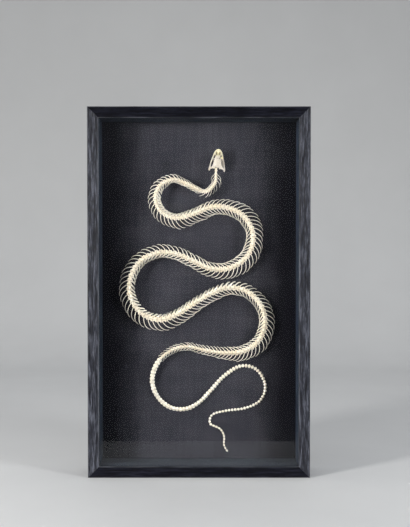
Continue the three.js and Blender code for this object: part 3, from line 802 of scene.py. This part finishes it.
def vertebra_grid(joints, sections):
    """
    All vertebrae between the joints, as (vertebra, section, around, xyz). Half a ring runs from the crest
    over the roof, out to the upper and lower side of the wing, in to the flank of the body and down to its
    keel, and the other half mirrors it. Each section has its own frame, so a vertebra follows the bend.
    """
    pitch = np.diff(joints)
    sections = np.broadcast_to(sections, (len(pitch),) + sections.shape[-2:])
    place, wing, lift, top, roof, body, depth, sweep, stain = np.moveaxis(sections, -1, 0)
    distance = joints[:-1, None] + pitch[:, None] * place
    origin, left, up, tail = frames_at(distance, ROLL)
    scatter = rng.standard_normal((len(pitch), 1, 1))
    width = size_at(WIDTH, distance)[..., None] * (1 + SCATTER["width"] * scatter)
    zero = np.zeros_like(wing)
    beside = 0.10 + 0.08 * wing
    out = np.stack([zero + CREST_HALF, beside, wing, wing * 0.86, body, zero + KEEL_HALF], axis=-1)
    rise = np.stack([top, roof, 0.06 + lift, -0.07 + lift, -0.5 * depth, -depth], axis=-1)
    shift = np.stack([0.04 + zero, sweep * 0.2, sweep, sweep * 0.9, zero, zero], axis=-1)
    out, rise = mirrored(out, -1) * width, mirrored(rise) * width
    shift = mirrored(shift) * pitch[:, None, None]
    grid = origin[:, :, None] + left[:, :, None] * out[..., None] + up[:, :, None] * rise[..., None]
    grid = grid + tail[:, :, None] * shift[..., None]
    # The painted shade of each ring is added to the stain at the joints.
    return grid, np.clip(mirrored(VERTEBRA_SHADE) + stain[..., None], 0, 1)


def rib_grid(joints, side, first):
    """
    The ribs of one side of a length, as (rib, row, around, xyz). Along the share s from root to tip, with the
    arc a = s * 90 degrees, the middle line goes out by (reach - root) * sin(hook * a), down by the drop times
    1 - cos(a), and back by the sweep times s ** lean. Round it lies an oval that thins towards the tip.
    """
    share = np.linspace(0, 1, RIB["rows"])[None, :]
    pitch = np.diff(joints)
    keep = np.arange(len(pitch)) + first >= RIBLESS
    distance = (joints[:-1] + pitch * RIB["place"])[keep][:, None]
    origin, left, up, tail = frames_at(distance, 0.0)
    scatter = rng.standard_normal((3, len(distance), 1))
    reach = size_at(LEFT_REACH if side > 0 else RIGHT_REACH, distance) * (1 + SCATTER["reach"] * scatter[0])
    root = size_at(WIDTH, distance) * RIB["root"]
    arc = share * math.pi / 2
    out = root + (reach - root) * np.sin(arc * RIB["hook"])
    down = (size_at(HEIGHT, distance) - 1) * RIB["drop"] * (1 - np.cos(arc))
    sweep = np.maximum(size_at(SWEEP, reach), size_at(LEAST_SWEEP, distance)) + SCATTER["sweep"] * scatter[1]
    sweep = sweep * np.minimum(1, size_at(PITCH, distance) / FULL_PITCH)
    back = sweep * share ** RIB["lean"] + SCATTER["wave"] * scatter[2] * np.sin(arc)
    middle = origin + side * left * out[..., None] - up * (1 + down)[..., None] + tail * back[..., None]
    along = unit(np.gradient(middle, axis=1))
    across = unit(np.cross(np.broadcast_to(up, along.shape), along))
    above = np.cross(along, across)
    angle = circle(RIB["around"])
    thin = RIB_OVAL["radius"] * size_at(RIB_TAPER, share[0])
    thin = thin[None, :, None, None] * size_at(RIB_GROWTH, distance)[:, :, None, None]
    crowded = 1 + (size_at(CROWDED, reach) - 1) * size_at(CROWDED_SHARE, distance)
    broad = crowded[:, :, None, None] * RIB_OVAL["broad"]
    ring = across[:, :, None] * np.cos(angle)[None, None, :, None] * broad
    ring = ring + above[:, :, None] * np.sin(angle)[None, None, :, None] * RIB_OVAL["high"]
    grid = middle[:, :, None] + ring * thin
    # Stain along the rib, and painted shade at its root under the vertebra.
    return grid, size_at(RIB_STAIN_AND_SHADE, share[0])[None, :, None] + np.zeros(grid.shape[:3])


def bone_piece(name, grid, stain_and_shade, material, slot, nodes, rounded=False, oily=None):
    """A piece of bone with its stain, its painted shade and its yellowed places marked."""
    piece = make_shells(name, grid, material)
    mark(piece, "stain_and_shade", end_values(stain_and_shade))
    if oily is not None:
        mark(piece, "oily", end_values(oily))
    if rounded:
        modifier = piece.modifiers.new("rounding", "SUBSURF")
        modifier.levels = modifier.render_levels = 1
    settle(piece, slot, *nodes)


# A pin as [way from the cloth or, below nought, from the bone, radius]: a flange on the cloth, the rod and a
# cup under the bone.
PIN = {
    "place": np.array([0, 0, 1.2, 2.2, -1.6, -1.0, -0.4, -0.4]),
    "radius": np.array([0.5, 1.35, 1.35, 0.9, 0.9, 2.2, 2.4, 0.8]),
}


def pin_piece(name, node):
    """A steel pin square to the backing, turned from the profile of a pin."""
    low, high = box_of(node)
    x, z = (low[0] + high[0]) / 2, (low[2] + high[2]) / 2
    depth = np.where(PIN["place"] < 0, high[1], low[1])[:, None] + PIN["place"][:, None]
    rod = turned(x, z, PIN["radius"][:, None], depth, circle(16)[None, :])
    settle(make_shells(name, rod, PIN_STEEL, sharp=35), "pin_steel", node)


def build_backbone():
    """The vertebrae and ribs of each length of the trunk, the tail, and the pins under them."""
    for name, first, joints in split_lengths(joints_between(NECK_GAP, TRUNK_END), TRUNK_NAMES):
        both = (f"{name}_left", f"{name}_right")
        sections = np.repeat(TRUNK_SECTIONS[None], len(joints) - 1, axis=0)
        sections[..., 1] *= np.interp(joints[:-1], NARROWING, (1.0, 0.78))[:, None]
        bone_piece(f"{name}_vertebrae", *vertebra_grid(joints, sections), BONE, "bone", both, True)
        bone_piece(f"{name}_ribs_left", *rib_grid(joints, 1, first), RIB_BONE, "bone", both[:1])
        bone_piece(f"{name}_ribs_right", *rib_grid(joints, -1, first), RIB_BONE, "bone", both[1:])
        pin_piece(f"{name}_pin", f"pin_{name}")
    for name, _, joints in split_lengths(joints_between(TRUNK_END, TAIL_END), TAIL_NAMES):
        share = np.interp(joints[:-1], BEADS, (0.0, 1.0))[:, None, None]
        sections = TAIL_ROOT_SECTIONS * (1 - share) + TAIL_TIP_SECTIONS * share
        bone_piece(f"{name}_vertebrae", *vertebra_grid(joints, sections), RIB_BONE, "bone", (name,), True)


build_backbone()

# ----- the skull
SKULL = {"x": 35.4, "z": 603.6, "height": 23.0, "tilt": 0.09}


def skull_place(forward, out, up):
    """Head coordinates (forward to the snout, out to the right, up from the backing) in the case's own."""
    cosine, sine = math.cos(SKULL["tilt"]), math.sin(SKULL["tilt"])
    x = SKULL["x"] + out * cosine + forward * sine
    z = SKULL["z"] - out * sine + forward * cosine
    return np.stack([x, CLOTH_FRONT - SKULL["height"] - up, z], axis=-1)


def swept_bone(stations, side=1):
    """
    A bone from a row of sections, each [forward, out, up, half width, half height], joined by a smooth curve.
    A section is an ellipse square to the line of the middles, and the ends are rounded off as a quarter
    circle over the last twelfth of the length.
    """
    rows = smooth(stations, 6)
    middle = rows[:, :3] * np.array([1.0, side, 1.0])
    along = unit(np.gradient(middle, axis=0))
    dorsal = np.array([0.0, 0.0, 1.0])
    across = unit(np.cross(dorsal, along))
    above = np.cross(along, across)
    share = np.linspace(0, 1, len(rows))
    near = np.clip(np.minimum(share, 1 - share) * 12, 0, 1)
    rounding = np.sqrt(1 - (1 - near) ** 2) * 0.82 + 0.18
    angle = circle(18)
    ring = across[:, None] * (rows[:, 3] * rounding)[:, None, None] * np.cos(angle)[None, :, None]
    ring = ring + above[:, None] * (rows[:, 4] * rounding)[:, None, None] * np.sin(angle)[None, :, None]
    local = middle[:, None] + ring
    # Painted shade: each bone is darker on its lower side, towards the backing.
    stain_and_shade = np.clip(0.25 - np.sin(angle)[None, :] * 0.35, 0, 1) * np.ones((len(rows), 1))
    return skull_place(local[..., 0], local[..., 1], local[..., 2])[None], stain_and_shade[None]


# The roof of the skull in one run, from the back of the braincase to the nose: forward, half width, top,
# bottom, height of the middle ridge, how square the section is.
ROOF = [
    [-0.6, 1.6, 0.2, -2.2, 0, 2], [0.4, 4.4, 1.9, -3.2, 0.1, 2.1], [2.2, 6.4, 3.5, -4.2, 0.5, 2.3],
    [4.5, 7.4, 4.4, -4.7, 0.9, 2.4], [7.5, 7.8, 4.9, -4.8, 0.8, 2.4], [10.5, 7.6, 5, -4.7, 0.5, 2.4],
    [13.2, 7, 4.9, -4.3, 0.25, 2.5], [15.2, 6.7, 4.6, -3.6, 0.05, 2.7], [16.8, 7, 4.3, -2.9, 0, 3],
    [18.4, 5, 4, -2.6, -0.15, 3], [20.6, 4.2, 3.6, -2.6, -0.25, 3], [22.6, 4.7, 3.2, -2.7, -0.2, 2.8],
    [24.4, 5.8, 2.7, -3.2, -0.1, 2.6], [26.4, 6.9, 2, -3.6, 0, 2.5], [28.8, 6, 1.2, -3.8, 0.1, 2.4],
    [31.2, 5, 0.2, -4, 0.1, 2.3], [33.6, 3.9, -0.9, -4, 0, 2.2], [35.4, 2.5, -1.8, -3.9, 0, 2.1],
    [36.3, 1, -2.4, -3.5, 0, 2],
]
NOSTRIL = {"forward": 27.4, "out": 2.8, "long": 3.4, "wide": 1.9, "deep": 3.0}
EYE_PIT = {"forward": 17.4, "out": 3.6, "wide": 1.5, "deep": 1.5}
YOKE = 16.8  # forward place of the corners behind the eyes
NASAL_END = 24.0
NOSE_BONE_END = 33.0
FORK = {"from": 7.0, "out": 5.4, "middle": 11.5}  # the two weak ridges that part behind the eyes


def bell(distance, width):
    """A bell curve: exp(-(distance / width)^2)."""
    return np.exp(-(distance / width) ** 2)


def roof_grid():
    """
    The closed box of the head as (row, around): out = half width * sign(sin a) |sin a|^(2/n), and up goes
    between top and bottom by cos a in the same way. On top come bell curves: a middle ridge, two weak ridges
    that part from it towards the corners behind the eyes, the nostril pits and a pit by the right eye, and
    narrow grooves for the seams: down the middle of the face, across behind the eyes, round the nose bones
    and across the occiput.
    """
    rows = smooth(ROOF, 6)
    forward, half, top, bottom, ridge, power = (rows[:, k][:, None] for k in range(6))
    angle = np.linspace(-math.pi, math.pi, 84, endpoint=False)[None, :]
    sine, cosine = np.sin(angle), np.cos(angle)
    out = half * np.sign(sine) * np.abs(sine) ** (2 / power)
    bend = np.sign(cosine) * np.abs(cosine) ** (2 / power)
    up = (top + bottom) / 2 + (top - bottom) / 2 * bend
    roof = np.clip(bend * 1.6, 0, 1)
    wide = np.abs(out)
    crest = bell(out, 0.5) * ridge
    fork = np.clip((forward - FORK["from"]) / (YOKE - FORK["from"]), 0, 1) * FORK["out"]
    forks = bell(wide - fork, 0.55) * bell(forward - FORK["middle"], 4.6) * 0.4
    nape = bell(wide - np.clip(4.5 - forward, 0, 5) * 1.2, 0.6) * bell(forward - 2.6, 2.0) * 0.4
    before_nose_end = NOSE_BONE_END - forward
    middle = bell(out, 0.24) * np.clip((forward - YOKE) / 1.2, 0, 1) * np.clip(before_nose_end, 0, 1)
    yoke = bell(forward - YOKE - 0.7 + 0.035 * out**2, 0.28)
    brow = bell(forward - NASAL_END - 0.1 * out**2, 0.26) * np.clip(4.2 - wide, 0, 1)
    cheek = bell(wide - 4.0 + 0.12 * (forward - 28), 0.24)
    cheek = cheek * np.clip(forward - NASAL_END - 0.5, 0, 1) * np.clip(before_nose_end / 2, 0, 1)
    tip = bell(forward - NOSE_BONE_END - 0.12 * out**2, 0.26)
    occiput = bell(forward - 3.6 + 0.10 * out**2, 0.3)
    temple = bell(wide - 6.3, 0.35) * bell(forward - 8.5, 4.0) * 0.6
    seams = np.clip(middle + yoke + brow + cheek + tip + occiput + temple, 0, 1)
    pits = np.exp(-((forward - NOSTRIL["forward"] - 0.2 * (wide - NOSTRIL["out"])) / NOSTRIL["long"]) ** 4)
    pits = pits * np.exp(-((wide - NOSTRIL["out"]) / NOSTRIL["wide"]) ** 4)
    hole = bell(np.hypot(forward - EYE_PIT["forward"], out - EYE_PIT["out"]), EYE_PIT["wide"])
    up = up + roof * (crest + forks + nape - seams * 0.32 - pits * NOSTRIL["deep"] - hole * EYE_PIT["deep"])
    # Stain and painted shade in the seam grooves, painted shade in the nostril pits, the eye pit and on the
    # underside.
    stain_and_shade = np.clip(roof * (seams * 0.6 + pits + hole) + np.clip(-bend, 0, 1) * 0.35, 0, 1)
    oily = np.clip((forward - 20.0) / 6.0, 0, 1) * np.clip(1.1 - wide / 14, 0, 1) * 0.36 + 0 * out
    oily = np.clip(oily + roof * pits * 0.5, 0, 1)
    return skull_place(forward + 0 * out, out, up)[None], stain_and_shade[None], oily[None]


# Bones of the head, each [forward, out, up, half width, half height].
PREMAXILLA = [
    [32.6, -5, -3.7, 0.6, 0.7], [34.2, -3.7, -3.5, 0.9, 0.9], [35.3, -1.8, -3.3, 1, 1.1],
    [35.6, 0, -3.2, 1.05, 1.2], [35.3, 1.8, -3.3, 1, 1.1], [34.2, 3.7, -3.5, 0.9, 0.9],
    [32.6, 5, -3.7, 0.6, 0.7],
]
SIDE_BONES = {
    "postorbital": [
        [17.2, 5.2, 4.1, 1.1, 0.5], [16.9, 7, 3.5, 1, 0.6], [16.3, 8.6, 2, 0.8, 0.6],
        [15.6, 9.7, 0, 0.7, 0.6], [15.2, 10.2, -2, 0.9, 0.5],
    ],
    "exoccipital": [
        [3.4, 5, 2.4, 1.2, 1], [1.4, 5.2, 1.9, 2, 1.5], [-0.6, 5.6, 1.5, 2.1, 1.5],
        [-2.4, 6.1, 1.2, 1.5, 1.1], [-3.2, 6.3, 1, 0.6, 0.6],
    ],
    "maxilla": [
        [34, 3.6, -3.9, 0.7, 0.7], [33, 4.5, -3.6, 1.2, 1.3], [30.6, 5.8, -3.2, 1.5, 1.9],
        [27.4, 7.2, -2.9, 1.6, 2.2], [24, 8.5, -2.9, 1.4, 2], [20.4, 9.6, -3.1, 1.2, 1.6],
        [17, 10.3, -3.4, 1.1, 1.2], [15, 10.5, -3.6, 0.8, 0.8],
    ],
    "palatine": [[31, 2.6, -4.9, 0.6, 0.5], [28.6, 3, -5.1, 1, 0.6], [25, 3.7, -5.3, 0.9, 0.6]],
    "ectopterygoid": [
        [16.4, 10.3, -3.9, 0.7, 0.6], [15.4, 9.6, -4.2, 1, 0.6], [14.2, 8.2, -4.7, 0.9, 0.55],
        [13.2, 7, -5.2, 0.6, 0.45],
    ],
    "supratemporal": [
        [10.5, 6.3, 3.5, 0.5, 0.4], [8, 6.7, 3.7, 1, 0.6], [4.6, 7, 3.6, 1.3, 0.75],
        [1.4, 7.4, 3.1, 1.5, 0.8], [-1.2, 7.9, 2.6, 1.3, 0.8], [-2.4, 8.1, 2.3, 0.6, 0.5],
    ],
    "quadrate": [
        [-0.4, 7.4, 2.9, 1.6, 0.6], [-0.7, 8.8, 2.5, 2.4, 0.8], [-1.6, 11, 0.8, 1.9, 0.9],
        [-2.6, 12.8, -1.4, 1.4, 0.9], [-3.5, 13.9, -3.2, 1.7, 0.9], [-3.8, 14.3, -3.9, 1.2, 0.5],
    ],
    "pterygoid": [
        [25.4, 3.6, -5.4, 0.6, 0.5], [21, 4.4, -5.7, 1, 0.6], [16, 5.2, -6, 1.2, 0.6],
        [11.6, 6, -6.1, 1.6, 0.6], [7, 6.8, -6, 1.6, 0.6], [3, 8.2, -5.6, 1.3, 0.7],
        [-1, 10.3, -5, 0.9, 0.6], [-2, 10.9, -4.9, 0.5, 0.4],
    ],
    "mandible": [
        [34.6, 1.9, -7.4, 0.6, 0.7], [33.8, 2.9, -7.4, 1, 1.1], [32, 4.3, -7.4, 1.2, 1.4],
        [29, 6.1, -7.3, 1.3, 1.6], [24.5, 8, -7.2, 1.35, 1.7], [19, 9.9, -7, 1.4, 1.8],
        [14.5, 11.3, -6.8, 1.4, 2], [11, 12.3, -6.4, 1.35, 2.5], [7.4, 13.1, -6.1, 1.3, 2.7],
        [4, 13.7, -6.1, 1.4, 2], [0, 14.3, -5.9, 1.6, 1.6], [-3, 14.7, -5.8, 1.7, 1.5],
        [-5.4, 14.9, -5.8, 1.5, 1.2], [-7.4, 14.8, -6, 0.7, 0.8],
    ],
}
# The solid that stands for a bone, where it isn't called like the bone, and the bones with old fat in them.
BONE_SOLIDS = {"postorbital": "cranium", "exoccipital": "cranium", "palatine": "pterygoid"}
YELLOWED = {"maxilla": 0.45, "palatine": 0.45}
SIDES = ((-1, "left"), (1, "right"))


TOOTH = {"radius": 0.3, "taper": 0.75, "curl": 0.38, "inward": 0.25, "scatter": 0.12}


def teeth_grid(stations, side, count, first, last, length, drop):
    """
    A row of recurved teeth along a bone, as (tooth, row, around, xyz). Each is a cone whose middle line falls
    by length * s and bends back by the curl times length * s squared.
    """
    rows = smooth(stations, 12)
    where = np.linspace(first, last, count) * (len(rows) - 1)
    base = np.stack([np.interp(where, np.arange(len(rows)), rows[:, k]) for k in range(5)], axis=-1)
    s = np.linspace(0, 1, 5)[None, :]
    angle = circle(6)
    size = length * (1 + TOOTH["scatter"] * rng.standard_normal((count, 1)))
    forward = base[:, :1] - TOOTH["curl"] * size * s**2
    out = base[:, 1:2] * side - side * TOOTH["inward"] + 0 * s
    up = base[:, 2:3] + drop * (base[:, 4:5] * 0.8 + size * s)
    radius = TOOTH["radius"] * (1 - s * TOOTH["taper"]) + 0 * size
    grid = skull_place(
        forward[..., None] + radius[..., None] * np.cos(angle),
        out[..., None] + radius[..., None] * np.sin(angle),
        up[..., None] + 0 * angle,
    )
    # Painted shade at the root of each tooth, fading towards the tip.
    return grid, np.broadcast_to(0.25 - 0.25 * s[..., None], grid.shape[:3]).copy()


# Tissue that dried in the right eye socket, and a darker strip across the opening behind: painted shade of
# that opening.
DRIED_EYE = [[21.6, 7.4, 0.4, 1.2, 0.9], [19.4, 8.0, 0.6, 1.7, 1.2], [17.2, 8.8, 0.2, 1.4, 1.0]]
PAINTED_SHADE_STRIP = [
    [15.4, 9.6, -0.6, 0.6, 0.5], [11, 10.2, -1.4, 0.9, 0.6], [6, 10.9, -1.6, 0.9, 0.6],
    [1.5, 10.6, -0.4, 0.8, 0.6], [-1.2, 9.6, 1.6, 0.7, 0.5],
]


def head_piece(name, grid, stain_and_shade, node, oily=None):
    """A piece of the head; oily says how yellow it is, as one number or for every point."""
    oily = None if oily is None else stain_and_shade * 0 + oily
    bone_piece(name, grid, stain_and_shade, SHADED_SKULL_BONE, "skull_bone", (node,), oily=oily)


def build_skull():
    """The braincase, the snout and the paired bones of the head, with their teeth, and the pin under them."""
    grid, stain_and_shade, oily = roof_grid()
    head_piece("skull_roof", grid, stain_and_shade, "cranium", oily)
    head_piece("premaxilla", *swept_bone(PREMAXILLA), "cranium", 0.55)
    for name, stations in SIDE_BONES.items():
        solid = BONE_SOLIDS.get(name, name)
        for side, label in SIDES:
            grid, stain_and_shade = swept_bone(stations, side)
            fade = np.linspace(1, 0, grid.shape[1])[None, :, None]
            node = solid if solid == "cranium" else f"{solid}_{label}"
            head_piece(f"{name}_{label}", grid, stain_and_shade, node, YELLOWED.get(name, 0.0) * fade)
    grid, stain_and_shade = swept_bone(DRIED_EYE)
    head_piece("dried_tissue_right", grid, stain_and_shade + 0.08, "cranium", 0.95)
    # The strip across the opening is made darker: painted shade.
    grid, stain_and_shade = swept_bone(PAINTED_SHADE_STRIP)
    head_piece("painted_shade_strip_right", grid, stain_and_shade + 0.35, "cranium")
    for side, label in SIDES:
        upper = teeth_grid(SIDE_BONES["maxilla"], side, 17, 0.08, 0.92, 1.7, -1)
        lower = teeth_grid(SIDE_BONES["mandible"], side, 18, 0.03, 0.5, 1.4, 1)
        head_piece(f"upper_teeth_{label}", *upper, f"maxilla_{label}")
        head_piece(f"lower_teeth_{label}", *lower, f"mandible_{label}")
    pin_piece("skull_pin", "pin_skull")


build_skull()
